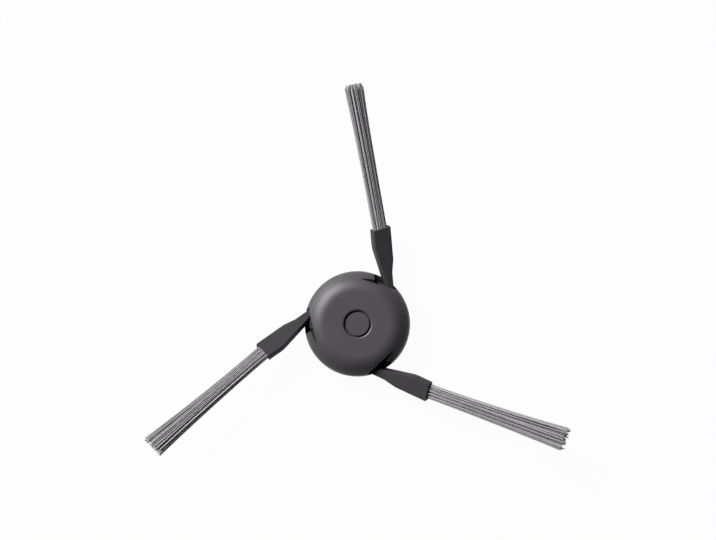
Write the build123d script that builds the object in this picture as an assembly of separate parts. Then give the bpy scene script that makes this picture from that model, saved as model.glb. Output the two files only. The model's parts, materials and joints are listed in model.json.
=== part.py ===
from build123d import *
import os
import random
from math import cos, radians, sin, sqrt, tan

# Side brush of a robot vacuum cleaner: a two-part hub, three soft arms and three bristle tufts.
# Lengths are in millimetres and angles in degrees. The hub axis is Z, the hub stands on z = 0
# and its crown faces up. Each arm is drawn along +X and then turned to its own heading.

# Hub outside: the turn is how far the shoulder bends down from the level crown
HUB_DIAMETER = 36.0
BASE_HEIGHT = 4.4
CAP_HEIGHT = 8.6
SHOULDER_RADIUS = 7.2
SHOULDER_TURN = 38.0
SIDE_HEIGHT = 5.1
RIM_BEVEL = 0.9
PARTING_CHAMFER = 0.3
BOTTOM_CHAMFER = 0.6

# Disc and ring groove in the middle of the crown
DISC_DIAMETER = 7.9
DISC_DROP = 0.12
GROOVE_WIDTH = 0.75
GROOVE_DEPTH = 1.4
LIP_WIDTH = 0.4
LIP_SLOPE = 24.0

# Arms: heading is measured from +Y, inset is how far inside the side of the hub the arm's
# centreline passes, roll leans the arm's top to its leading side, and lengths along an arm
# count from where its centreline crosses the side
ARM_COUNT = 3
ARM_HEADING = 5.0
ARM_INSET = 7.35
ARM_RISE = 11.0
ARM_ROLL = 16.0
ARM_LENGTH = 17.65
SLEEVE_WIDTH = 6.3
ARM_THICKNESS = 4.4
SLEEVE_WALL = 0.65
MOUTH_SLANT = 8.0
TRAILING_SIDE = 6.6
LEADING_SIDE = 11.0
NECK_WIDTH = 2.4
NECK_SHIFT = 1.2
NECK_REACH = 2.6
WAIST_REACH = 2.2
BEND_RADIUS = 12.0
ARM_ROUND = 0.5

# Root block that holds each arm inside the hub, on a square post of the base
BLOCK_HEIGHT = 4.0
BLOCK_INNER_END = 3.2
BLOCK_INSET = 1.7
BLOCK_ROUND = 0.6
POST_WIDTH = 2.4
POST_REACH = 6.4
POST_GRIP = 2.2
POST_CHAMFER = 0.3
PAD_WALL = 1.1

# Windows and scoops of the cap, where the arms come out
WINDOW_CLEARANCE = 0.3
ROOF_CLEARANCE = 0.4
SILL_CLEARANCE = 0.6
SHELF_WIDTH = 3.0
SCOOP_HEADING = 22.0
SCOOP_DEPTH = 3.15
SCOOP_RISE = 50.0
SCOOP_CLIMB = 22.0

# Inside of the hub
CROWN_THICKNESS = 2.4
CAP_WALL = 1.6
RIM_WALL = 2.6
DECK_THICKNESS = 2.0
RIB_COUNT = 6
RIB_WIDTH = 1.6

# Push-on drive socket: a square hole with a detent recess in two of its sides
SOCKET_WIDTH = 6.2
SOCKET_DEPTH = 8.6
SOCKET_CORNER = 0.6
SOCKET_CHAMFER = 0.5
SOCKET_WALL = 2.6
SOCKET_FLOOR = 1.4
DETENT_LENGTH = 2.6
DETENT_HEIGHT = 1.2
DETENT_DEPTH = 0.4
DETENT_LEVEL = 5.2

# Bristle tufts and the pockets they stand in
POCKET_DEPTH = 9.0
POCKET_CORNER = 1.2
TUFT_RECESS = 1.4
TUFT_LENGTH = 51.0
TUFT_LEAN = 5.3
BRISTLE_DIAMETER = 0.45
BRISTLE_GAP = 0.18
BRISTLE_SIDES = 5
FAN_WIDTH = 1.47
FAN_THICKNESS = 1.25
TIP_SCATTER = 0.10
LENGTH_SCATTER = 1.1

# Fits between the pieces, on each side
TUFT_FIT = 0.05
POST_FIT = 0.03
EYE_FIT = 0.10
BOSS_FIT = 0.10

HUB_RADIUS = HUB_DIAMETER / 2
HUB_HEIGHT = BASE_HEIGHT + CAP_HEIGHT
BLOCK_TOP = BASE_HEIGHT + BLOCK_HEIGHT
BOSS_RADIUS = SOCKET_WIDTH / 2 + SOCKET_WALL
BOSS_TOP = SOCKET_DEPTH + SOCKET_FLOOR
ARM_HALF_RISE = ARM_THICKNESS / 2 / cos(radians(ARM_RISE))
ARM_HEIGHT = BASE_HEIGHT + SILL_CLEARANCE + ARM_HALF_RISE
WINDOW_ROOF = ARM_HEIGHT + ARM_HALF_RISE + ROOF_CLEARANCE
ARM_OFFSET = HUB_RADIUS - ARM_INSET
ARM_START = sqrt(HUB_RADIUS**2 - ARM_OFFSET**2)
SCOOP_REACH = HUB_RADIUS - SHELF_WIDTH
POCKET_WIDTH = SLEEVE_WIDTH - 2 * SLEEVE_WALL
POCKET_THICKNESS = ARM_THICKNESS - 2 * SLEEVE_WALL

# The arm's own plane: x runs out along the sleeve, y to the trailing side, z is up
ARM_PLANE = Plane(
    origin=(ARM_START, -ARM_OFFSET, ARM_HEIGHT),
    x_dir=(cos(radians(ARM_RISE)), 0, sin(radians(ARM_RISE))),
    z_dir=(
        -sin(radians(ARM_RISE)) * cos(radians(ARM_ROLL)),
        -sin(radians(ARM_ROLL)),
        cos(radians(ARM_RISE)) * cos(radians(ARM_ROLL)),
    ),
)


def arm_turns():
    """The turns about the hub axis that take the drawn arm to each of its places."""
    return [Rot(0, 0, 90 + ARM_HEADING + index * 360 / ARM_COUNT) for index in range(ARM_COUNT)]


def around_hub(shape):
    """One copy of a shape at each arm."""
    return [turn * shape for turn in arm_turns()]


def rising(shape, bottom, height):
    """A flat shape in plan, made into a prism from a bottom level."""
    return extrude(Pos(0, 0, bottom) * shape, amount=height)


def turned(*points):
    """A solid of revolution about the hub axis from corners given as radius and height."""
    return revolve(Plane.XZ * make_face(Polyline(*points, close=True)), Axis.Z)


def dome():
    """The outside of the cap: flat crown, rounded shoulder, sloped brow, bevelled rim and side."""
    turn = radians(SHOULDER_TURN)
    brow_drop = CAP_HEIGHT - SIDE_HEIGHT - SHOULDER_RADIUS * (1 - cos(turn))
    crown_radius = HUB_RADIUS - brow_drop / tan(turn) - SHOULDER_RADIUS * sin(turn)
    shoulder = JernArc((crown_radius, HUB_HEIGHT), (1, 0), SHOULDER_RADIUS, -SHOULDER_TURN)
    rest = Polyline(
        shoulder @ 1,
        (HUB_RADIUS, BASE_HEIGHT + SIDE_HEIGHT),
        (HUB_RADIUS, BASE_HEIGHT + PARTING_CHAMFER),
        (HUB_RADIUS - PARTING_CHAMFER, BASE_HEIGHT),
        (0, BASE_HEIGHT),
        (0, HUB_HEIGHT),
        shoulder @ 0,
    )
    section = make_face([shoulder, rest])
    rim = section.vertices().sort_by_distance((HUB_RADIUS, BASE_HEIGHT + SIDE_HEIGHT))[0]
    return revolve(Plane.XZ * chamfer(rim, RIM_BEVEL), Axis.Z)


def disc_cut():
    """The ring groove, its sloped outer lip and the small drop of the disc inside it."""
    inner = DISC_DIAMETER / 2
    outer = inner + GROOVE_WIDTH
    lip_drop = LIP_WIDTH * tan(radians(LIP_SLOPE))
    return turned(
        (0, HUB_HEIGHT - DISC_DROP),
        (inner, HUB_HEIGHT - DISC_DROP),
        (inner, HUB_HEIGHT - GROOVE_DEPTH),
        (outer, HUB_HEIGHT - GROOVE_DEPTH),
        (outer, HUB_HEIGHT - lip_drop),
        (outer + 2 * LIP_WIDTH, HUB_HEIGHT + lip_drop),
        (0, HUB_HEIGHT + lip_drop),
    )


def window_plan(extra=0.0):
    """The slot, seen from above, that lets a sleeve through the side of the cap."""
    inner = BLOCK_INNER_END - WINDOW_CLEARANCE - extra
    length = HUB_DIAMETER - inner
    width = SLEEVE_WIDTH + 2 * WINDOW_CLEARANCE + 2 * extra
    return Pos(inner + length / 2, -ARM_OFFSET) * Rectangle(length, width)


def scoop_cut():
    """The crease at the foot of the shoulder, which opens into a window and fades out behind the arm."""
    floor = HUB_HEIGHT - SCOOP_DEPTH
    end = HUB_DIAMETER
    beyond = Rot(0, 0, -SCOOP_HEADING) * Pos(SCOOP_REACH + end, 0) * Rectangle(2 * end, 4 * end)
    opening = rising(beyond & window_plan(), BASE_HEIGHT, 2 * HUB_HEIGHT)
    crease = make_face(Polyline(
        (SCOOP_REACH, floor),
        (end, floor + (end - SCOOP_REACH) * tan(radians(SCOOP_RISE))),
        (SCOOP_REACH, floor + end * tan(radians(SCOOP_RISE))),
        close=True,
    ))
    crease = extrude(Plane.XZ * crease, amount=HUB_DIAMETER, both=True)
    crease = Pos(0, 0, floor) * Rot(SCOOP_CLIMB, 0, 0) * Pos(0, 0, -floor) * crease
    crease = Rot(0, 0, -SCOOP_HEADING) * crease
    trailing_jamb = -ARM_OFFSET + SLEEVE_WIDTH / 2
    behind = Pos(0, trailing_jamb + HUB_DIAMETER) * Rectangle(4 * HUB_DIAMETER, 2 * HUB_DIAMETER)
    return opening + (crease & rising(behind, 0, 2 * HUB_HEIGHT))


def core_cut():
    """Pockets that keep the walls of the cap even, between the slots of the arms."""
    plan = Circle(SCOOP_REACH - CAP_WALL) - Circle(BOSS_RADIUS + BOSS_FIT + CAP_WALL)
    for slot in around_hub(window_plan(CAP_WALL)):
        plan -= slot
    return rising(plan, BASE_HEIGHT, CAP_HEIGHT - CROWN_THICKNESS)


def post_plan(extra=0.0):
    """The square outline of the post that an arm sits on."""
    return Pos(POST_REACH, -ARM_OFFSET) * Rectangle(POST_WIDTH + 2 * extra, POST_WIDTH + 2 * extra)


def hub_cap():
    """The domed cap, pressed onto the posts of the base with the arms held under it."""
    cap = dome() - disc_cut()
    cap -= around_hub(scoop_cut())
    cap -= around_hub(rising(window_plan(), BASE_HEIGHT, WINDOW_ROOF - BASE_HEIGHT))
    cap -= core_cut()
    bore = Circle(BOSS_RADIUS + BOSS_FIT)
    cap -= rising(bore, BASE_HEIGHT, BOSS_TOP + BOSS_FIT - BASE_HEIGHT)
    cap += around_hub(rising(post_plan(PAD_WALL), BLOCK_TOP, WINDOW_ROOF - BLOCK_TOP))
    cap -= around_hub(rising(post_plan(POST_FIT), BLOCK_TOP, POST_GRIP + POST_FIT))
    return cap


def base_disc():
    """The round plate under the cap, bevelled at its lower edge."""
    return turned(
        (0, 0),
        (HUB_RADIUS - BOTTOM_CHAMFER, 0),
        (HUB_RADIUS, BOTTOM_CHAMFER),
        (HUB_RADIUS, BASE_HEIGHT),
        (0, BASE_HEIGHT),
    )


def underside_cut():
    """The hollow under the base between its rim, its ribs and the drive boss."""
    plan = Circle(HUB_RADIUS - RIM_WALL) - Circle(BOSS_RADIUS)
    for index in range(RIB_COUNT):
        rib = Pos(HUB_RADIUS / 2, 0) * Rectangle(HUB_RADIUS, RIB_WIDTH)
        plan -= Rot(0, 0, index * 360 / RIB_COUNT) * rib
    return rising(plan, 0, BASE_HEIGHT - DECK_THICKNESS)


def drive_socket():
    """The square hole for the drive shaft, with a lead-in chamfer and two detent recesses."""
    hole = rising(RectangleRounded(SOCKET_WIDTH, SOCKET_WIDTH, SOCKET_CORNER), 0, SOCKET_DEPTH)
    mouth = SOCKET_WIDTH + 2 * SOCKET_CHAMFER
    lead_in = loft([
        RectangleRounded(mouth, mouth, SOCKET_CORNER),
        Pos(0, 0, SOCKET_CHAMFER) * RectangleRounded(SOCKET_WIDTH, SOCKET_WIDTH, SOCKET_CORNER),
    ])
    detent = Rectangle(SOCKET_WIDTH + 2 * DETENT_DEPTH, DETENT_LENGTH)
    return hole + lead_in + rising(detent, DETENT_LEVEL, DETENT_HEIGHT)


def hub_base():
    """The lower half of the hub: drive boss, ribbed plate and a post for each arm."""
    base = base_disc() - underside_cut()
    base += rising(Circle(BOSS_RADIUS), 0, BOSS_TOP)
    post = rising(post_plan(), BASE_HEIGHT, BLOCK_HEIGHT + POST_GRIP)
    post = chamfer(post.edges().group_by(Axis.Z)[-1], POST_CHAMFER)
    base += around_hub(post)
    return base - drive_socket()


def arm_plan():
    """The neck and the sleeve seen square to the arm's plane, from the post to the slanted mouth."""
    half = SLEEVE_WIDTH / 2
    slant = half * tan(radians(MOUTH_SLANT))
    root = POST_REACH - ARM_START
    trailing_neck = NECK_WIDTH / 2 - NECK_SHIFT
    leading_neck = -NECK_WIDTH / 2 - NECK_SHIFT
    plan = make_face(Polyline(
        (ARM_LENGTH + slant, -half),
        (ARM_LENGTH - slant, half),
        (ARM_LENGTH - TRAILING_SIDE, half),
        (-NECK_REACH, trailing_neck),
        (root, trailing_neck),
        (root, leading_neck),
        (WAIST_REACH, leading_neck),
        (ARM_LENGTH - LEADING_SIDE, -half),
        close=True,
    ))
    shoulder = plan.vertices().sort_by_distance((ARM_LENGTH - TRAILING_SIDE, half))[0]
    return fillet(shoulder, BEND_RADIUS)


def arm_bar():
    """The neck and the sleeve, with their long edges rounded."""
    bar = extrude(ARM_PLANE * arm_plan(), amount=ARM_THICKNESS / 2, both=True)
    along = [edge for edge in bar.edges() if abs(edge.tangent_at(0.5).dot(ARM_PLANE.x_dir)) > 0.7]
    return fillet(along, ARM_ROUND)


def root_block():
    """The block at the root of an arm, between the deck of the base and the pad of the cap."""
    plan = Pos(BLOCK_INNER_END + HUB_RADIUS / 2, -ARM_OFFSET) * Rectangle(HUB_RADIUS, SLEEVE_WIDTH)
    plan = plan & Circle(HUB_RADIUS - BLOCK_INSET)
    plan = fillet(plan.vertices(), BLOCK_ROUND)
    return rising(plan, BASE_HEIGHT, BLOCK_HEIGHT)


def pocket_plane():
    """The floor of the tuft pocket, square to the sleeve: x across the sleeve, z towards the mouth."""
    floor = ARM_PLANE.from_local_coords((ARM_LENGTH - POCKET_DEPTH, 0, 0))
    return Plane(floor, x_dir=ARM_PLANE.y_dir, z_dir=ARM_PLANE.x_dir)


def arm():
    """One soft arm: sleeve with its tuft pocket, neck, and root block with the eye for its post."""
    body = arm_bar() + root_block()
    body -= rising(Circle(HUB_DIAMETER), BASE_HEIGHT - HUB_HEIGHT, HUB_HEIGHT)
    pocket = RectangleRounded(POCKET_WIDTH, POCKET_THICKNESS, POCKET_CORNER)
    body -= extrude(pocket_plane() * pocket, amount=POCKET_DEPTH + SLEEVE_WIDTH)
    return body - rising(post_plan(EYE_FIT), BASE_HEIGHT, BLOCK_HEIGHT)


def bristle_roots():
    """Where the bristles leave the root of the tuft: close-packed rows inside a rounded field."""
    pitch = BRISTLE_DIAMETER + BRISTLE_GAP
    layer = pitch * sqrt(3) / 2
    margin = TUFT_FIT + BRISTLE_DIAMETER / 2
    half_width = POCKET_WIDTH / 2 - margin
    half_thickness = POCKET_THICKNESS / 2 - margin
    rows = int(2 * half_thickness / layer)
    columns = int(2 * half_width / pitch)
    roots = []
    for row in range(rows + 1):
        height = (row - rows / 2) * layer
        shift = (row % 2 - 0.5) * pitch / 2
        for column in range(columns + 1):
            place = (column - columns / 2) * pitch + shift
            if (abs(place) / half_width) ** 4 + (abs(height) / half_thickness) ** 4 < 1:
                roots.append((place, height))
    return roots


def bristle_tuft(seed):
    """One tuft: bristles that fan out from a melted root, which fills the pocket of the sleeve."""
    chance = random.Random(seed)
    floor = pocket_plane()
    root_height = POCKET_DEPTH - TUFT_RECESS
    root_plan = RectangleRounded(
        POCKET_WIDTH - 2 * TUFT_FIT, POCKET_THICKNESS - 2 * TUFT_FIT, POCKET_CORNER - TUFT_FIT
    )
    root = extrude(floor * root_plan, amount=root_height)
    lean = radians(TUFT_LEAN)
    bristles = []
    for across, up in bristle_roots():
        length = TUFT_LENGTH + TUFT_RECESS - LENGTH_SCATTER * chance.random()
        side = across * FAN_WIDTH + TIP_SCATTER * chance.uniform(-1, 1)
        tip = floor.from_local_coords((
            length * sin(lean) + side * cos(lean),
            up * FAN_THICKNESS + TIP_SCATTER * chance.uniform(-1, 1),
            root_height + length * cos(lean) - side * sin(lean),
        ))
        start = floor.from_local_coords((across, up, root_height - BRISTLE_DIAMETER))
        way = tip - start
        section = Plane(start, z_dir=way) * RegularPolygon(BRISTLE_DIAMETER / 2, BRISTLE_SIDES)
        bristles.append(extrude(section, amount=way.length))
    return root + bristles


def save(shape, node):
    """Write one node to its own file."""
    export_step(shape, os.path.join("parts", node + ".step"))


os.makedirs("parts", exist_ok=True)
save(hub_cap(), "hub_cap")
save(hub_base(), "hub_base")
one_arm = arm()
for number, turn in enumerate(arm_turns(), start=1):
    save(turn * one_arm, f"arm_{number}")
    save(turn * bristle_tuft(number), f"bristle_tuft_{number}")
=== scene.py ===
"""Looks of a robot vacuum side brush, made around its CAD solids.

The base keeps its CAD mesh. The cap and the arms are merged copies of theirs with softer edges,
and the bristle tufts are grown one filament at a time in the sleeves of the arms. Lengths are
in metres.
"""

import json
from math import cos, pi, radians, sin, sqrt

import bmesh
import bpy
from bpy.props import FloatProperty, FloatVectorProperty, IntProperty, PointerProperty
from mathutils import Matrix, Vector

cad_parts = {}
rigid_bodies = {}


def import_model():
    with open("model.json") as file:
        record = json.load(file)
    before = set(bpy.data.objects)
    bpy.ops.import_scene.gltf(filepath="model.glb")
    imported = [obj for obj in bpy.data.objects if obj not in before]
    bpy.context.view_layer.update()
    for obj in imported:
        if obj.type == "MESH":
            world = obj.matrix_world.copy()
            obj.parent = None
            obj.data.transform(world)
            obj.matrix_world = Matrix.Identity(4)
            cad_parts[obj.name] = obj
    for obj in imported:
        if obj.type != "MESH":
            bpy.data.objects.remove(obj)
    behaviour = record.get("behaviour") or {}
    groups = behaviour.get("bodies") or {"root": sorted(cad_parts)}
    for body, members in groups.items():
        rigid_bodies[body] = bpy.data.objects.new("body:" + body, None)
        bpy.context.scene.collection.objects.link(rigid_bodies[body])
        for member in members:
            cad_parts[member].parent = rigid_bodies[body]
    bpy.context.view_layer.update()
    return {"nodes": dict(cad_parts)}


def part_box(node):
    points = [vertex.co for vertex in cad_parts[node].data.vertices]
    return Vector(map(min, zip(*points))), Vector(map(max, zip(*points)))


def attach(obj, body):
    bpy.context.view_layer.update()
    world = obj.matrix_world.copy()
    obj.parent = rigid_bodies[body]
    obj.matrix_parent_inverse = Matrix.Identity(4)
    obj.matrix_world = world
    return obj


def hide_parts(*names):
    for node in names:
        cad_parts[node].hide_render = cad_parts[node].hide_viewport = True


bl_info = {
    "name": "Side brush looks",
    "version": (1, 0, 0),
    "blender": (4, 5, 0),
    "location": "View3D > Sidebar > Side brush",
    "description": "Finishes, bristles and studio for a robot vacuum side brush",
    "category": "Object",
}

for leftover in list(bpy.data.objects):
    bpy.data.objects.remove(leftover)
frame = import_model()

MM = 0.001
BODY = "root"
ARM_NODES = ("arm_1", "arm_2", "arm_3")
TUFT_NODES = ("bristle_tuft_1", "bristle_tuft_2", "bristle_tuft_3")
HUB_LOW, HUB_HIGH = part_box("hub_base")
HUB_RADIUS = (HUB_HIGH.x - HUB_LOW.x) / 2
DECK_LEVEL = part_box("hub_cap")[0].z

# Copies of CAD meshes: what is welded, what counts as flat, and which turns stay smooth
WELD_DISTANCE = 0.002 * MM
FLAT_TURN = radians(0.5)
RING_TURN = radians(12)
CAP_TURN = radians(40)
ARM_TURN = radians(35)
EDGE_SEGMENTS = 3

# Filaments: length and strength of their streaks, and the painted shade that darkens them towards the
# root
STREAK_SIZE = 2.5 * MM
STREAK_SHADE = 0.35
STREAK_GLOSS = 0.4
ROOT_PAINTED_SHADE = 0.85

# Bristle field: margin in diameters, jitter in columns and layers, and its rounded outline
ROOT_MARGIN = 0.52
COLUMN_JITTER = 0.22
LAYER_JITTER = 0.25
OUTLINE_POWER = 4
OUTLINE_LIMIT = 1.25

# Disorder of the tips, in shares of the tip scatter, and the steps between random seeds
STRAY_REACH = 2.5
BUNDLE_SWAY = 0.5
SEED_STEP = 100
SHADE_SEED = 950

# Studio: grain of the paper, aim of the light, and how far the camera sees
PAPER_GRAIN = 900.0
PAPER_TONE = 0.02
LIGHT_AIM = Vector((0, 0, 10 * MM))
CAMERA_REACH = 100


class FinishSettings(bpy.types.PropertyGroup):
    """Colours and textures of the moulded pieces and the bristles."""

    hub_colour: FloatVectorProperty(
        name="Hub colour", description="Colour of the hard hub",
        subtype="COLOR", size=3, min=0, max=1, default=(0.068, 0.064, 0.069))
    hub_roughness: FloatProperty(
        name="Hub roughness", description="How matt the hub is",
        subtype="FACTOR", min=0, max=1, default=0.42)
    hub_gloss: FloatProperty(
        name="Hub gloss", description="Strength of the reflections on the cap",
        subtype="FACTOR", min=0, max=1, default=0.45)
    hub_mottle: FloatProperty(
        name="Hub mottle", description="Strength of the faint patches on the hub",
        subtype="FACTOR", min=0, max=1, default=0.22)
    ring_reach: FloatProperty(
        name="Ring reach", description="How far from the axis the edges of the ring stay crisp",
        unit="LENGTH", min=0, default=6.0 * MM)
    # Near-black base: partly its own colour, partly painted shade, so its deck seen in the windows
    # beside the arms reads as dark gaps.
    base_colour_and_gap_shade: FloatVectorProperty(
        name="Base colour", description="Colour of the base under the cap",
        subtype="COLOR", size=3, min=0, max=1, default=(0.012, 0.012, 0.012))
    base_roughness: FloatProperty(
        name="Base roughness", description="How matt the base is",
        subtype="FACTOR", min=0, max=1, default=0.50)
    base_gloss: FloatProperty(
        name="Base gloss", description="Strength of the reflections on the base",
        subtype="FACTOR", min=0, max=1, default=0.25)
    arm_colour: FloatVectorProperty(
        name="Arm colour", description="Colour of the soft arms",
        subtype="COLOR", size=3, min=0, max=1, default=(0.050, 0.047, 0.051))
    arm_roughness: FloatProperty(
        name="Arm roughness", description="How matt the soft arms are",
        subtype="FACTOR", min=0, max=1, default=0.50)
    arm_gloss: FloatProperty(
        name="Arm gloss", description="Strength of the reflections on the soft arms",
        subtype="FACTOR", min=0, max=1, default=0.03)
    arm_mottle: FloatProperty(
        name="Arm mottle", description="Strength of the faint patches on the arms",
        subtype="FACTOR", min=0, max=1, default=0.28)
    arm_edge: FloatProperty(
        name="Arm edges", description="Rounding of the edges of the soft arms",
        unit="LENGTH", min=0, default=0.22 * MM)
    bristle_dark: FloatVectorProperty(
        name="Dark bristles", description="Colour of the darkest filaments",
        subtype="COLOR", size=3, min=0, max=1, default=(0.210, 0.204, 0.213))
    bristle_light: FloatVectorProperty(
        name="Light bristles", description="Colour of the palest filaments",
        subtype="COLOR", size=3, min=0, max=1, default=(0.480, 0.466, 0.487))
    bristle_roughness: FloatProperty(
        name="Bristle roughness", description="How matt the filaments are",
        subtype="FACTOR", min=0, max=1, default=0.42)
    bristle_gloss: FloatProperty(
        name="Bristle gloss", description="Strength of the reflections on the filaments",
        subtype="FACTOR", min=0, max=1, default=0.7)
    grain_size: FloatProperty(
        name="Grain size", description="Width of the spark-eroded grain of the mould",
        unit="LENGTH", min=0.02 * MM, default=0.22 * MM)
    grain_depth: FloatProperty(
        name="Grain depth", description="Depth of the grain",
        unit="LENGTH", min=0, default=0.012 * MM)
    mottle_size: FloatProperty(
        name="Mottle size", description="Width of the faint patches in colour and gloss",
        unit="LENGTH", min=0.5 * MM, default=5.0 * MM)


class SleeveSettings(bpy.types.PropertyGroup):
    """Where the pocket of each sleeve lies, as in the CAD solids."""

    heading: FloatProperty(
        name="Heading", description="Turn of the first arm away from +Y",
        subtype="ANGLE", default=radians(5))
    inset: FloatProperty(
        name="Inset", description="How far inside the side of the hub an arm's centreline passes",
        unit="LENGTH", default=7.35 * MM)
    rise: FloatProperty(
        name="Rise", description="Climb of an arm away from the hub",
        subtype="ANGLE", default=radians(11))
    roll: FloatProperty(
        name="Roll", description="Lean of an arm's top to its leading side",
        subtype="ANGLE", default=radians(16))
    thickness: FloatProperty(
        name="Arm thickness", description="Thickness of an arm square to its plane",
        unit="LENGTH", default=4.4 * MM)
    sill: FloatProperty(
        name="Sill clearance", description="Gap between the arm and the deck of the base",
        unit="LENGTH", default=0.6 * MM)
    reach: FloatProperty(
        name="Sleeve reach", description="Length of an arm from the side of the hub to its mouth",
        unit="LENGTH", default=17.65 * MM)
    pocket_depth: FloatProperty(
        name="Pocket depth", description="Depth of the tuft pocket behind the mouth",
        unit="LENGTH", default=9.0 * MM)
    root_width: FloatProperty(
        name="Root width", description="Width of the melted root of a tuft",
        unit="LENGTH", default=4.9 * MM)
    root_thickness: FloatProperty(
        name="Root thickness", description="Thickness of the melted root of a tuft",
        unit="LENGTH", default=3.0 * MM)
    root_corner: FloatProperty(
        name="Root corner", description="Corner radius of the melted root",
        unit="LENGTH", default=1.15 * MM)
    recess: FloatProperty(
        name="Recess", description="How far the melted root stays behind the mouth",
        unit="LENGTH", default=1.4 * MM)


class TuftSettings(bpy.types.PropertyGroup):
    """Size and disorder of the bristles."""

    columns: IntProperty(
        name="Columns", description="Bristles across a tuft", min=2, default=12)
    rows: IntProperty(
        name="Rows", description="Layers of bristles", min=2, default=7)
    diameter: FloatProperty(
        name="Bristle diameter", description="Thickness of one filament",
        unit="LENGTH", default=0.36 * MM)
    length: FloatProperty(
        name="Free length", description="Length of the bristles past the mouth of the sleeve",
        unit="LENGTH", default=51.0 * MM)
    lean: FloatProperty(
        name="Lean", description="Turn of the tuft against the sleeve, to the trailing side",
        subtype="ANGLE", default=radians(5.7))
    fan_width: FloatVectorProperty(
        name="Fan across", description="Width of each tuft at its tips over that at its root",
        size=3, default=(1.32, 1.62, 1.68))
    fan_thickness: FloatProperty(
        name="Fan upward", description="Thickness of the tuft at its tips over that at its root",
        default=1.25)
    length_scatter: FloatProperty(
        name="Length scatter", description="How far the trimmed ends differ",
        unit="LENGTH", default=1.6 * MM)
    tip_scatter: FloatProperty(
        name="Tip scatter", description="How far a tip strays from its place",
        unit="LENGTH", default=0.28 * MM)
    bow: FloatProperty(
        name="Bow", description="How far a filament bows from a straight line",
        unit="LENGTH", default=0.16 * MM)
    waist: FloatVectorProperty(
        name="Waist", description="How far each tuft draws in half way along, as a share of its width",
        size=3, default=(0.12, 0.22, 0.17))
    strands: IntProperty(
        name="Strands", description="Bundles that the tuft parts into", min=1, default=4)
    parting: FloatProperty(
        name="Parting", description="How far filaments draw away from the gaps between bundles",
        unit="LENGTH", default=0.04 * MM)
    stray_share: FloatProperty(
        name="Stray share", description="Share of filaments that stand clear of the tuft",
        subtype="FACTOR", min=0, max=1, default=0.05)
    sides: IntProperty(
        name="Sides", description="Faces around a filament", min=3, default=6)
    steps: IntProperty(
        name="Steps", description="Points along a filament", min=2, default=7)
    seed: IntProperty(
        name="Seed", description="Start of the random numbers", default=11)


class StageSettings(bpy.types.PropertyGroup):
    """Floor, light and camera."""

    floor_colour: FloatVectorProperty(
        name="Floor colour", description="Colour of the floor under the brush",
        subtype="COLOR", size=3, min=0, max=1, default=(0.55, 0.55, 0.55))
    floor_size: FloatProperty(
        name="Floor size", description="Side of the floor", unit="LENGTH", default=16.0)
    paper_share: FloatProperty(
        name="Paper share", description="How far the floor shows as evenly lit white paper",
        subtype="FACTOR", min=0, max=1, default=0.96)
    key_power: FloatProperty(
        name="Key light", description="Power of the large soft light on the upper left",
        unit="POWER", default=19.5)
    key_size: FloatProperty(
        name="Key size", description="Side of the soft light", unit="LENGTH", default=0.7)
    key_distance: FloatProperty(
        name="Key distance", description="Distance from the hub to the soft light",
        unit="LENGTH", default=1.0)
    key_azimuth: FloatProperty(
        name="Key azimuth", description="Direction of the soft light in plan, from +X",
        subtype="ANGLE", default=radians(138))
    key_elevation: FloatProperty(
        name="Key elevation", description="Height of the soft light over the floor, as an angle",
        subtype="ANGLE", default=radians(39))
    room_level: FloatProperty(
        name="Room light", description="Brightness of the room around the studio",
        min=0, default=0.02)
    view_width: FloatProperty(
        name="View width", description="Width of the picture at the height of the hub's side",
        unit="LENGTH", default=244.5 * MM)
    view_centre: FloatVectorProperty(
        name="View centre", description="Point that the camera looks straight down on",
        subtype="TRANSLATION", unit="LENGTH", size=3, default=(0.22 * MM, 18.38 * MM, 8.8 * MM))
    lens: FloatProperty(
        name="Lens", description="Focal length in millimetres, long for a flat view", default=400.0)


class Wiring:
    """Adds nodes to a tree and joins them, so that a formula reads like one."""

    def __init__(self, tree):
        self.tree = tree

    def put(self, kind, feeds=None, **settings):
        """A new node, with its settings and with what feeds its inputs by name or number."""
        node = self.tree.nodes.new(kind)
        for name, value in settings.items():
            setattr(node, name, value)
        for name, value in (feeds or {}).items():
            self.feed(node.inputs[name], value)
        return node

    def feed(self, socket, value):
        """Joins an output to an input, or sets the input's own value."""
        if isinstance(value, bpy.types.NodeSocket):
            self.tree.links.new(value, socket)
        else:
            socket.default_value = value

    def maths(self, operation, *values):
        """The result of a Math node."""
        return self.put("ShaderNodeMath", dict(enumerate(values)), operation=operation).outputs[0]

    def vector(self, x, y, z):
        """Three values as one vector."""
        return self.put("ShaderNodeCombineXYZ", {"X": x, "Y": y, "Z": z}).outputs[0]

    def vector_maths(self, operation, **feeds):
        """The result of a Vector Math node; feeds are first, second and scale."""
        numbers = {"first": 0, "second": 1, "scale": 3}
        inputs = {numbers[name]: value for name, value in feeds.items()}
        return self.put("ShaderNodeVectorMath", inputs, operation=operation).outputs[0]


def new_group(name, kind, inputs, outputs):
    """An empty node group with named sockets, its wiring, and its input and output nodes."""
    tree = bpy.data.node_groups.new(name, kind)
    for label, socket_type in inputs:
        tree.interface.new_socket(name=label, in_out="INPUT", socket_type=socket_type)
    for label, socket_type in outputs:
        tree.interface.new_socket(name=label, in_out="OUTPUT", socket_type=socket_type)
    wiring = Wiring(tree)
    return wiring, wiring.put("NodeGroupInput").outputs, wiring.put("NodeGroupOutput").inputs


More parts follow.
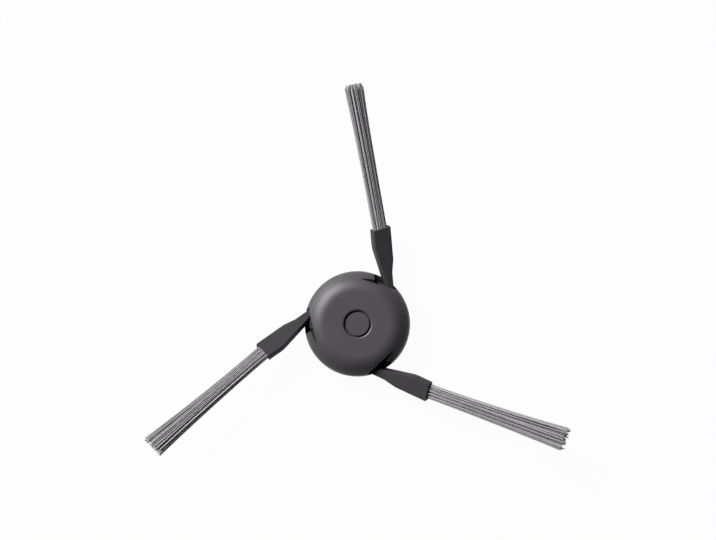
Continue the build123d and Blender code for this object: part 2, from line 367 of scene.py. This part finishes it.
def moulded_surface_group():
    """Grain of the mould, and faint patches in colour and gloss, for every moulded piece."""
    wiring, given, results = new_group(
        "Moulded surface", "ShaderNodeTree",
        [("Colour", "NodeSocketColor"), ("Roughness", "NodeSocketFloat"),
         ("Grain Size", "NodeSocketFloat"), ("Mottle Size", "NodeSocketFloat"),
         ("Mottle", "NodeSocketFloat")],
        [("Colour", "NodeSocketColor"), ("Roughness", "NodeSocketFloat"),
         ("Height", "NodeSocketFloat")])
    place = wiring.put("ShaderNodeTexCoord").outputs["Object"]
    grain = wiring.put("ShaderNodeTexNoise", {
        "Vector": place, "Scale": wiring.maths("DIVIDE", 1.0, given["Grain Size"]),
        "Detail": 2.0, "Roughness": 0.6}).outputs["Fac"]
    mottle = wiring.put("ShaderNodeTexNoise", {
        "Vector": place, "Scale": wiring.maths("DIVIDE", 1.0, given["Mottle Size"]),
        "Detail": 3.0, "Roughness": 0.55}).outputs["Fac"]
    swing = wiring.maths("MULTIPLY", wiring.maths("SUBTRACT", mottle, 0.5), given["Mottle"])
    speck = wiring.maths("MULTIPLY", wiring.maths("SUBTRACT", grain, 0.5), given["Mottle"])
    shade = wiring.maths("ADD", 1.0, wiring.maths("ADD", swing, speck))
    wiring.feed(results["Colour"],
                wiring.vector_maths("SCALE", first=given["Colour"], scale=shade))
    wiring.feed(results["Roughness"],
                wiring.maths("MULTIPLY", given["Roughness"],
                             wiring.maths("SUBTRACT", 1.0, wiring.maths("MULTIPLY", swing, 0.5))))
    wiring.feed(results["Height"], grain)
    return wiring.tree


def filament_group():
    """Colour of a filament: its own tone and streaks, with painted shade that darkens it towards the
    root in the sleeve, so the cut tip stays paler.
    """
    wiring, given, results = new_group(
        "Filament shade", "ShaderNodeTree",
        [("Dark", "NodeSocketColor"), ("Light", "NodeSocketColor"),
         ("Roughness", "NodeSocketFloat")],
        [("Colour", "NodeSocketColor"), ("Roughness", "NodeSocketFloat")])
    own = wiring.put("ShaderNodeAttribute", attribute_name="bristle_shade").outputs["Fac"]
    along = wiring.put("ShaderNodeAttribute", attribute_name="bristle_along").outputs["Fac"]
    place = wiring.put("ShaderNodeTexCoord").outputs["Object"]
    streak = wiring.put("ShaderNodeTexNoise", {
        "Vector": place, "Scale": 1 / STREAK_SIZE, "Detail": 2.0}).outputs["Fac"]
    swing = wiring.maths("MULTIPLY", wiring.maths("SUBTRACT", streak, 0.5), STREAK_SHADE)
    # Painted shade: each filament darkens towards its root in the sleeve.
    painted_root_shade = wiring.maths("ADD", ROOT_PAINTED_SHADE, wiring.maths("MULTIPLY", along, 1 - ROOT_PAINTED_SHADE))
    shade = wiring.maths("MULTIPLY", wiring.maths("ADD", own, swing), painted_root_shade)
    mix = wiring.put("ShaderNodeMix", data_type="RGBA", clamp_factor=True)
    wiring.feed(mix.inputs["Factor"], shade)
    wiring.feed(mix.inputs[6], given["Dark"])
    wiring.feed(mix.inputs[7], given["Light"])
    wiring.feed(results["Colour"], mix.outputs[2])
    wiring.feed(results["Roughness"],
                wiring.maths("MULTIPLY", given["Roughness"],
                             wiring.maths("ADD", 1 - STREAK_GLOSS / 2,
                                          wiring.maths("MULTIPLY", streak, STREAK_GLOSS))))
    return wiring.tree


def new_material(name):
    """An empty material with its wiring and its Principled shader."""
    material = bpy.data.materials.new(name)
    material.use_nodes = True
    material.node_tree.nodes.clear()
    wiring = Wiring(material.node_tree)
    shader = wiring.put("ShaderNodeBsdfPrincipled")
    output = wiring.put("ShaderNodeOutputMaterial")
    wiring.feed(output.inputs["Surface"], shader.outputs["BSDF"])
    return material, wiring, shader


def moulded_material(name, colour, roughness, gloss, mottle, finish, surface):
    """A moulded plastic or rubber with grain in its surface."""
    material, wiring, shader = new_material(name)
    group = wiring.put("ShaderNodeGroup", node_tree=surface)
    wiring.feed(group.inputs["Colour"], (*colour, 1))
    wiring.feed(group.inputs["Roughness"], roughness)
    wiring.feed(group.inputs["Grain Size"], finish.grain_size)
    wiring.feed(group.inputs["Mottle Size"], finish.mottle_size)
    wiring.feed(group.inputs["Mottle"], mottle)
    bump = wiring.put("ShaderNodeBump", {
        "Strength": 1.0, "Distance": finish.grain_depth, "Height": group.outputs["Height"]})
    wiring.feed(shader.inputs["Base Color"], group.outputs["Colour"])
    wiring.feed(shader.inputs["Roughness"], group.outputs["Roughness"])
    wiring.feed(shader.inputs["Normal"], bump.outputs["Normal"])
    shader.inputs["Specular IOR Level"].default_value = gloss
    return material


def bristle_material(finish):
    """Nylon filaments, each with its own shade of grey."""
    material, wiring, shader = new_material("bristle nylon")
    group = wiring.put("ShaderNodeGroup", node_tree=filament_group())
    wiring.feed(group.inputs["Dark"], (*finish.bristle_dark, 1))
    wiring.feed(group.inputs["Light"], (*finish.bristle_light, 1))
    wiring.feed(group.inputs["Roughness"], finish.bristle_roughness)
    wiring.feed(shader.inputs["Base Color"], group.outputs["Colour"])
    wiring.feed(shader.inputs["Roughness"], group.outputs["Roughness"])
    shader.inputs["Specular IOR Level"].default_value = finish.bristle_gloss
    return material


def dress(node, material):
    """Gives a CAD node its finish and leaves its mesh as it is."""
    piece = frame["nodes"][node]
    piece.data.materials.clear()
    piece.data.materials.append(material)


def merged_copy(node, name, smooth_turn, crisp_radius, material):
    """Replaces a CAD node with a merged copy that is smooth over edges of less than a given turn.

    Within the crisp radius round the axis, all but the shallowest edges stay sharp.
    """
    source = frame["nodes"][node]
    mesh = source.data.copy()
    mesh.name = name
    mesh.transform(source.matrix_world)
    work = bmesh.new()
    work.from_mesh(mesh)
    bmesh.ops.remove_doubles(work, verts=work.verts, dist=WELD_DISTANCE)
    bmesh.ops.dissolve_limit(work, angle_limit=FLAT_TURN, verts=work.verts, edges=work.edges)
    bmesh.ops.recalc_face_normals(work, faces=work.faces)
    for face in work.faces:
        face.smooth = True
    for edge in work.edges:
        inner = all(corner.co.xy.length < crisp_radius for corner in edge.verts)
        edge.smooth = edge.calc_face_angle(pi) < (RING_TURN if inner else smooth_turn)
    work.to_mesh(mesh)
    work.free()
    if "custom_normal" in mesh.attributes:
        mesh.attributes.remove(mesh.attributes["custom_normal"])
    mesh.materials.clear()
    mesh.materials.append(material)
    piece = bpy.data.objects.new(name, mesh)
    bpy.context.scene.collection.objects.link(piece)
    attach(piece, BODY)
    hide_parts(node)
    return piece


def random_value(wiring, seed, low, high, identity=None):
    """A random number for each bristle, or for each identity."""
    node = wiring.put("FunctionNodeRandomValue", {2: low, 3: high, "Seed": seed}, data_type="FLOAT")
    if identity is not None:
        wiring.feed(node.inputs["ID"], identity)
    return node.outputs[1]


def tuft_tree():
    """Geometry nodes for one tuft: x across the sleeve, y upward, z out of the mouth."""
    wiring, given, results = new_group(
        "Bristle tuft", "GeometryNodeTree",
        [("Root Width", "NodeSocketFloat"), ("Root Thickness", "NodeSocketFloat"),
         ("Root Corner", "NodeSocketFloat"), ("Root Height", "NodeSocketFloat"),
         ("Columns", "NodeSocketInt"), ("Rows", "NodeSocketInt"),
         ("Diameter", "NodeSocketFloat"), ("Length", "NodeSocketFloat"),
         ("Lean", "NodeSocketFloat"), ("Fan Width", "NodeSocketFloat"),
         ("Fan Thickness", "NodeSocketFloat"), ("Length Scatter", "NodeSocketFloat"),
         ("Tip Scatter", "NodeSocketFloat"), ("Bow", "NodeSocketFloat"),
         ("Waist", "NodeSocketFloat"),
         ("Strands", "NodeSocketInt"), ("Parting", "NodeSocketFloat"),
         ("Stray Share", "NodeSocketFloat"), ("Sides", "NodeSocketInt"),
         ("Steps", "NodeSocketInt"), ("Seed", "NodeSocketInt"),
         ("Material", "NodeSocketMaterial")],
        [("Tuft", "NodeSocketGeometry")])
    maths = wiring.maths
    seeds = [maths("ADD", given["Seed"], SEED_STEP * number) for number in range(9)]
    index = wiring.put("GeometryNodeInputIndex").outputs[0]
    row = maths("FLOOR", maths("DIVIDE", index, given["Columns"]))
    column = maths("SUBTRACT", index, maths("MULTIPLY", row, given["Columns"]))
    edge = maths("MULTIPLY", given["Diameter"], ROOT_MARGIN)
    half_width = maths("SUBTRACT", maths("DIVIDE", given["Root Width"], 2), edge)
    half_thickness = maths("SUBTRACT", maths("DIVIDE", given["Root Thickness"], 2), edge)
    pitch = maths("DIVIDE", maths("MULTIPLY", half_width, 2), maths("SUBTRACT", given["Columns"], 1))
    layer = maths("DIVIDE", maths("MULTIPLY", half_thickness, 2), maths("SUBTRACT", given["Rows"], 1))
    stagger = maths("SUBTRACT", maths("MODULO", row, 2), 0.5)
    stagger = maths("MULTIPLY", maths("MULTIPLY", stagger, pitch), 0.5)
    jitter = maths("MULTIPLY", pitch, random_value(
        wiring, seeds[0], -COLUMN_JITTER, COLUMN_JITTER))
    across = maths("SUBTRACT", maths("MULTIPLY", column, pitch), half_width)
    across = maths("ADD", across, maths("ADD", stagger, jitter))
    across = maths("MAXIMUM", maths("MINIMUM", across, half_width), maths("MULTIPLY", half_width, -1))
    lift = maths("MULTIPLY", layer, random_value(wiring, seeds[1], -LAYER_JITTER, LAYER_JITTER))
    up = maths("ADD", maths("SUBTRACT", maths("MULTIPLY", row, layer), half_thickness), lift)
    outside = maths("GREATER_THAN", maths(
        "ADD",
        maths("POWER", maths("DIVIDE", maths("ABSOLUTE", across), half_width), OUTLINE_POWER),
        maths("POWER", maths("DIVIDE", maths("ABSOLUTE", up), half_thickness), OUTLINE_POWER)),
        OUTLINE_LIMIT)
    bundle = maths("MULTIPLY", maths("ADD", maths("DIVIDE", across, given["Root Width"]), 0.5),
                   given["Strands"])
    drawn = maths("MULTIPLY", given["Parting"], maths("SINE", maths("MULTIPLY", bundle, 2 * pi)))
    across = maths("ADD", across, drawn)
    bundle_number = maths("FLOOR", bundle)

    stray = maths("LESS_THAN", random_value(wiring, seeds[2], 0, 1), given["Stray Share"])
    scatter = maths("MULTIPLY", given["Tip Scatter"], maths(
        "ADD", 1, maths("MULTIPLY", stray, STRAY_REACH)))
    bundle_shift = maths("MULTIPLY", given["Tip Scatter"],
                         random_value(wiring, seeds[3], -BUNDLE_SWAY, BUNDLE_SWAY, bundle_number))
    sideways = maths("MULTIPLY", scatter, random_value(wiring, seeds[4], -1, 1))
    sideways = maths("ADD", maths("ADD", sideways, bundle_shift),
                     maths("MULTIPLY", across, given["Fan Width"]))
    tip_up = maths("ADD", maths("MULTIPLY", up, given["Fan Thickness"]),
                   maths("MULTIPLY", scatter, random_value(wiring, seeds[5], -1, 1)))
    length = maths("SUBTRACT", given["Length"],
                   maths("MULTIPLY", given["Length Scatter"], random_value(wiring, seeds[6], 0, 1)))
    lean_sine = maths("SINE", given["Lean"])
    lean_cosine = maths("COSINE", given["Lean"])
    tip_across = maths(
        "ADD", maths("MULTIPLY", length, lean_sine), maths("MULTIPLY", sideways, lean_cosine))
    tip_out = maths(
        "SUBTRACT", maths("MULTIPLY", length, lean_cosine), maths("MULTIPLY", sideways, lean_sine))
    tip = wiring.vector(tip_across, tip_up, maths("ADD", given["Root Height"], tip_out))
    start = wiring.vector(across, up, maths("SUBTRACT", given["Root Height"], given["Diameter"]))
    bow = wiring.vector(
        maths("SUBTRACT", maths("MULTIPLY", given["Bow"], random_value(wiring, seeds[7], -1, 1)),
              maths("MULTIPLY", across, given["Waist"])),
        maths("MULTIPLY", given["Bow"], random_value(wiring, seeds[8], -1, 1)), 0.0)
    shade = random_value(wiring, maths("ADD", given["Seed"], SHADE_SEED), 0, 1)

    field = wiring.put("GeometryNodePoints", {
        "Count": maths("MULTIPLY", given["Columns"], given["Rows"])}).outputs[0]
    keep = wiring.put("GeometryNodeCaptureAttribute", domain="POINT")
    carried = [("VECTOR", "Start", start), ("VECTOR", "Tip", tip), ("VECTOR", "Bow", bow),
               ("FLOAT", "Shade", shade), ("FLOAT", "Outside", outside)]
    for kind, name, value in carried:
        keep.capture_items.new(kind, name)
        wiring.feed(keep.inputs[name], value)
    wiring.feed(keep.inputs["Geometry"], field)
    inside = wiring.put("GeometryNodeDeleteGeometry", {
        "Geometry": keep.outputs["Geometry"], "Selection": keep.outputs["Outside"]}, domain="POINT")
    line = wiring.put("GeometryNodeCurvePrimitiveLine", {"End": (0, 0, 1)})
    points = wiring.put("GeometryNodeResampleCurve", {
        "Curve": line.outputs[0], "Count": given["Steps"]})
    planted = wiring.put("GeometryNodeInstanceOnPoints", {
        "Points": inside.outputs[0], "Instance": points.outputs[0]})
    curves = wiring.put("GeometryNodeRealizeInstances", {"Geometry": planted.outputs[0]})

    along = wiring.put("GeometryNodeSplineParameter").outputs["Factor"]
    reach = wiring.vector_maths("SUBTRACT", first=keep.outputs["Tip"], second=keep.outputs["Start"])
    path = wiring.vector_maths("ADD", first=keep.outputs["Start"], second=wiring.vector_maths(
        "SCALE", first=reach, scale=along))
    belly = maths("MULTIPLY", maths("MULTIPLY", along, maths("SUBTRACT", 1, along)), 4)
    path = wiring.vector_maths("ADD", first=path, second=wiring.vector_maths(
        "SCALE", first=keep.outputs["Bow"], scale=belly))
    placed = wiring.put("GeometryNodeSetPosition", {"Geometry": curves.outputs[0], "Position": path})
    shaded = wiring.put("GeometryNodeStoreNamedAttribute", {
        "Geometry": placed.outputs[0], "Name": "bristle_shade", "Value": keep.outputs["Shade"]},
        data_type="FLOAT", domain="POINT")
    measured = wiring.put("GeometryNodeStoreNamedAttribute", {
        "Geometry": shaded.outputs[0], "Name": "bristle_along", "Value": along},
        data_type="FLOAT", domain="POINT")
    ring = wiring.put("GeometryNodeCurvePrimitiveCircle", {
        "Resolution": given["Sides"], "Radius": maths("DIVIDE", given["Diameter"], 2)}, mode="RADIUS")
    bristles = wiring.put("GeometryNodeCurveToMesh", {
        "Curve": measured.outputs[0], "Profile Curve": ring.outputs["Curve"], "Fill Caps": True})

    outline = wiring.put("GeometryNodeCurvePrimitiveQuadrilateral", {
        "Width": given["Root Width"], "Height": given["Root Thickness"]}, mode="RECTANGLE")
    rounded = wiring.put("GeometryNodeFilletCurve", {
        "Curve": outline.outputs[0], "Radius": given["Root Corner"], "Count": 5}, mode="POLY")
    spine = wiring.put("GeometryNodeCurvePrimitiveLine", {
        "End": wiring.vector(0.0, 0.0, given["Root Height"])})
    root = wiring.put("GeometryNodeCurveToMesh", {
        "Curve": spine.outputs[0], "Profile Curve": rounded.outputs[0], "Fill Caps": True})
    whole = wiring.put("GeometryNodeJoinGeometry")
    wiring.feed(whole.inputs[0], bristles.outputs[0])
    wiring.feed(whole.inputs[0], root.outputs[0])
    plain = wiring.put("GeometryNodeRealizeInstances", {"Geometry": whole.outputs[0]})
    finished = wiring.put("GeometryNodeSetMaterial", {
        "Geometry": plain.outputs[0], "Material": given["Material"]})
    wiring.feed(results["Tuft"], finished.outputs[0])
    return wiring.tree


def pocket_place(sleeve, number):
    """Where a tuft stands: the floor of a pocket, turned to its arm."""
    level = DECK_LEVEL + sleeve.sill + sleeve.thickness / 2 / cos(sleeve.rise)
    offset = HUB_RADIUS - sleeve.inset
    start = Vector((sqrt(HUB_RADIUS**2 - offset**2), -offset, level))
    out = Vector((cos(sleeve.rise), 0, sin(sleeve.rise)))
    floor = start + out * (sleeve.reach - sleeve.pocket_depth)
    across = Matrix.Rotation(sleeve.roll, 3, out) @ Vector((0, 1, 0))
    up = out.cross(across)
    place = Matrix((across, up, out)).transposed().to_4x4()
    place.translation = floor
    turn = pi / 2 + sleeve.heading + number * 2 * pi / len(TUFT_NODES)
    return Matrix.Rotation(turn, 4, "Z") @ place


def set_inputs(modifier, values):
    """Sets a Geometry Nodes modifier's inputs by the names of its tree's sockets."""
    for item in modifier.node_group.interface.items_tree:
        if item.in_out == "INPUT":
            modifier[item.identifier] = values[item.name]


def grow_tuft(name, tree, values):
    """A tuft as a plain mesh at the origin, made by the tree."""
    grower = bpy.data.objects.new(name, bpy.data.meshes.new(name))
    bpy.context.scene.collection.objects.link(grower)
    modifier = grower.modifiers.new("bristles", "NODES")
    modifier.node_group = tree
    set_inputs(modifier, values)
    evaluated = grower.evaluated_get(bpy.context.evaluated_depsgraph_get())
    mesh = bpy.data.meshes.new_from_object(evaluated)
    grower.modifiers.remove(modifier)
    mesh.name = name
    grower.data = mesh
    return grower


def soft_light(name, power, size, place, target):
    """A square area lamp at a place, facing a target, out of the camera's own sight."""
    lamp = bpy.data.lights.new(name, "AREA")
    lamp.energy = power
    lamp.size = size
    holder = bpy.data.objects.new(name, lamp)
    holder.location = place
    holder.rotation_euler = (target - place).to_track_quat("-Z", "Y").to_euler()
    holder.visible_camera = False
    bpy.context.scene.collection.objects.link(holder)


def paper_material(stage):
    """White paper: even for the camera and in reflections, with a trace of shadow kept."""
    material = bpy.data.materials.new("studio paper")
    material.use_nodes = True
    material.node_tree.nodes.clear()
    wiring = Wiring(material.node_tree)
    place = wiring.put("ShaderNodeTexCoord").outputs["Object"]
    fibre = wiring.put("ShaderNodeTexNoise", {"Vector": place, "Scale": PAPER_GRAIN}).outputs["Fac"]
    tone = wiring.maths("ADD", 1 - PAPER_TONE / 2, wiring.maths("MULTIPLY", fibre, PAPER_TONE))
    colour = wiring.vector_maths("SCALE", first=tuple(stage.floor_colour), scale=tone)
    diffuse = wiring.put("ShaderNodeBsdfDiffuse", {"Color": colour})
    glow = wiring.put("ShaderNodeEmission", {"Color": (1, 1, 1, 1), "Strength": 1.0})
    path = wiring.put("ShaderNodeLightPath").outputs
    seen = wiring.maths("MAXIMUM", path["Is Camera Ray"], wiring.maths(
        "MAXIMUM", path["Is Glossy Ray"], path["Is Transmission Ray"]))
    share = wiring.maths("MULTIPLY", seen, stage.paper_share)
    mix = wiring.put("ShaderNodeMixShader", {0: share, 1: diffuse.outputs[0], 2: glow.outputs[0]})
    output = wiring.put("ShaderNodeOutputMaterial")
    wiring.feed(output.inputs["Surface"], mix.outputs[0])
    return material


class SIDEBRUSH_OT_dress_hub(bpy.types.Operator):
    """Smooth the rim of the cap, and give cap and base their matt moulded finish"""

    bl_idname = "side_brush.dress_hub"
    bl_label = "Dress the hub"

    def execute(self, context):
        finish = context.scene.side_brush_finish
        surface = bpy.data.node_groups.get("Moulded surface") or moulded_surface_group()
        plastic = moulded_material(
            "hub plastic", finish.hub_colour, finish.hub_roughness, finish.hub_gloss,
            finish.hub_mottle, finish, surface)
        cap = merged_copy("hub_cap", "domed_cap", CAP_TURN, finish.ring_reach, plastic)
        rounding = cap.modifiers.new("soft rim", "WEIGHTED_NORMAL")
        rounding.keep_sharp = True
        # The base's near-black colour paints shade onto its deck in the windows beside the arms.
        dress("hub_base", moulded_material(
            "base plastic with gap shade", finish.base_colour_and_gap_shade, finish.base_roughness, finish.base_gloss,
            finish.hub_mottle, finish, surface))
        return {"FINISHED"}


class SIDEBRUSH_OT_dress_arms(bpy.types.Operator):
    """Round the edges of the arms and give them their soft rubber finish"""

    bl_idname = "side_brush.dress_arms"
    bl_label = "Dress the arms"

    def execute(self, context):
        finish = context.scene.side_brush_finish
        surface = bpy.data.node_groups.get("Moulded surface") or moulded_surface_group()
        rubber = moulded_material(
            "arm rubber", finish.arm_colour, finish.arm_roughness, finish.arm_gloss,
            finish.arm_mottle, finish, surface)
        for number, node in enumerate(ARM_NODES):
            piece = merged_copy(node, f"soft_arm_{number + 1}", ARM_TURN, 0, rubber)
            bevel = piece.modifiers.new("soft edges", "BEVEL")
            bevel.width = finish.arm_edge
            bevel.segments = EDGE_SEGMENTS
            bevel.limit_method = "ANGLE"
            bevel.angle_limit = ARM_TURN
            bevel.harden_normals = True
        return {"FINISHED"}


class SIDEBRUSH_OT_grow_tufts(bpy.types.Operator):
    """Grow the bristles of each tuft out of its sleeve"""

    bl_idname = "side_brush.grow_tufts"
    bl_label = "Grow the tufts"

    def execute(self, context):
        sleeve = context.scene.side_brush_sleeve
        tuft = context.scene.side_brush_tuft
        tree = tuft_tree()
        material = bristle_material(context.scene.side_brush_finish)
        for number, node in enumerate(TUFT_NODES):
            values = {
                "Root Width": sleeve.root_width, "Root Thickness": sleeve.root_thickness,
                "Root Corner": sleeve.root_corner, "Root Height": sleeve.pocket_depth - sleeve.recess,
                "Columns": tuft.columns, "Rows": tuft.rows, "Diameter": tuft.diameter,
                "Length": tuft.length + sleeve.recess, "Lean": tuft.lean,
                "Fan Width": tuft.fan_width[number], "Fan Thickness": tuft.fan_thickness,
                "Length Scatter": tuft.length_scatter, "Tip Scatter": tuft.tip_scatter,
                "Bow": tuft.bow, "Waist": tuft.waist[number],
                "Strands": tuft.strands, "Parting": tuft.parting,
                "Stray Share": tuft.stray_share, "Sides": tuft.sides, "Steps": tuft.steps,
                "Seed": tuft.seed + number, "Material": material,
            }
            piece = grow_tuft(f"bristles_{number + 1}", tree, values)
            piece.data.transform(pocket_place(sleeve, number))
            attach(piece, BODY)
            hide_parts(node)
        return {"FINISHED"}


class SIDEBRUSH_OT_set_stage(bpy.types.Operator):
    """Lay the floor, set the soft light and place the camera straight above"""

    bl_idname = "side_brush.set_stage"
    bl_label = "Set the stage"

    def execute(self, context):
        stage = context.scene.side_brush_stage
        half = stage.floor_size / 2
        mesh = bpy.data.meshes.new("studio_floor")
        corners = [(-half, -half, 0), (half, -half, 0), (half, half, 0), (-half, half, 0)]
        mesh.from_pydata(corners, [], [(0, 1, 2, 3)])
        mesh.materials.append(paper_material(stage))
        floor = bpy.data.objects.new("studio_floor", mesh)
        context.scene.collection.objects.link(floor)

        level = cos(stage.key_elevation)
        towards = Vector((cos(stage.key_azimuth) * level, sin(stage.key_azimuth) * level,
                          sin(stage.key_elevation)))
        soft_light("key_light", stage.key_power, stage.key_size,
                   LIGHT_AIM + towards * stage.key_distance, LIGHT_AIM)
        world = bpy.data.worlds.new("studio room")
        world.use_nodes = True
        background = world.node_tree.nodes["Background"]
        background.inputs["Color"].default_value = (1, 1, 1, 1)
        background.inputs["Strength"].default_value = stage.room_level
        context.scene.world = world

        camera = bpy.data.cameras.new("camera")
        camera.lens = stage.lens
        camera.clip_end = CAMERA_REACH
        eye = bpy.data.objects.new("camera", camera)
        height = stage.view_width * stage.lens / camera.sensor_width
        eye.location = Vector(stage.view_centre) + Vector((0, 0, height))
        context.scene.collection.objects.link(eye)
        context.scene.camera = eye
        context.scene.view_settings.view_transform = "Standard"
        return {"FINISHED"}


class SIDEBRUSH_PT_panel(bpy.types.Panel):
    """Settings and steps of the side brush"""

    bl_idname = "SIDEBRUSH_PT_panel"
    bl_label = "Side brush"
    bl_space_type = "VIEW_3D"
    bl_region_type = "UI"
    bl_category = "Side brush"

    def draw(self, context):
        scene = context.scene
        for settings in (scene.side_brush_finish, scene.side_brush_sleeve,
                         scene.side_brush_tuft, scene.side_brush_stage):
            box = self.layout.box()
            for name in settings.__annotations__:
                box.prop(settings, name)
        for step in STEPS:
            self.layout.operator(step.bl_idname)


SETTINGS = {
    "side_brush_finish": FinishSettings,
    "side_brush_sleeve": SleeveSettings,
    "side_brush_tuft": TuftSettings,
    "side_brush_stage": StageSettings,
}
STEPS = (
    SIDEBRUSH_OT_dress_hub,
    SIDEBRUSH_OT_dress_arms,
    SIDEBRUSH_OT_grow_tufts,
    SIDEBRUSH_OT_set_stage,
)


def register():
    """Makes the settings, the steps and the panel known to Blender."""
    for name, settings in SETTINGS.items():
        bpy.utils.register_class(settings)
        setattr(bpy.types.Scene, name, PointerProperty(type=settings))
    for step in STEPS:
        bpy.utils.register_class(step)
    bpy.utils.register_class(SIDEBRUSH_PT_panel)


def unregister():
    """Takes the settings, the steps and the panel away again."""
    bpy.utils.unregister_class(SIDEBRUSH_PT_panel)
    for step in reversed(STEPS):
        bpy.utils.unregister_class(step)
    for name, settings in reversed(SETTINGS.items()):
        delattr(bpy.types.Scene, name)
        bpy.utils.unregister_class(settings)


def main():
    """Builds the looks step by step."""
    register()
    bpy.ops.side_brush.dress_hub()
    bpy.ops.side_brush.dress_arms()
    bpy.ops.side_brush.grow_tufts()
    bpy.ops.side_brush.set_stage()


if __name__ == "__main__":
    main()
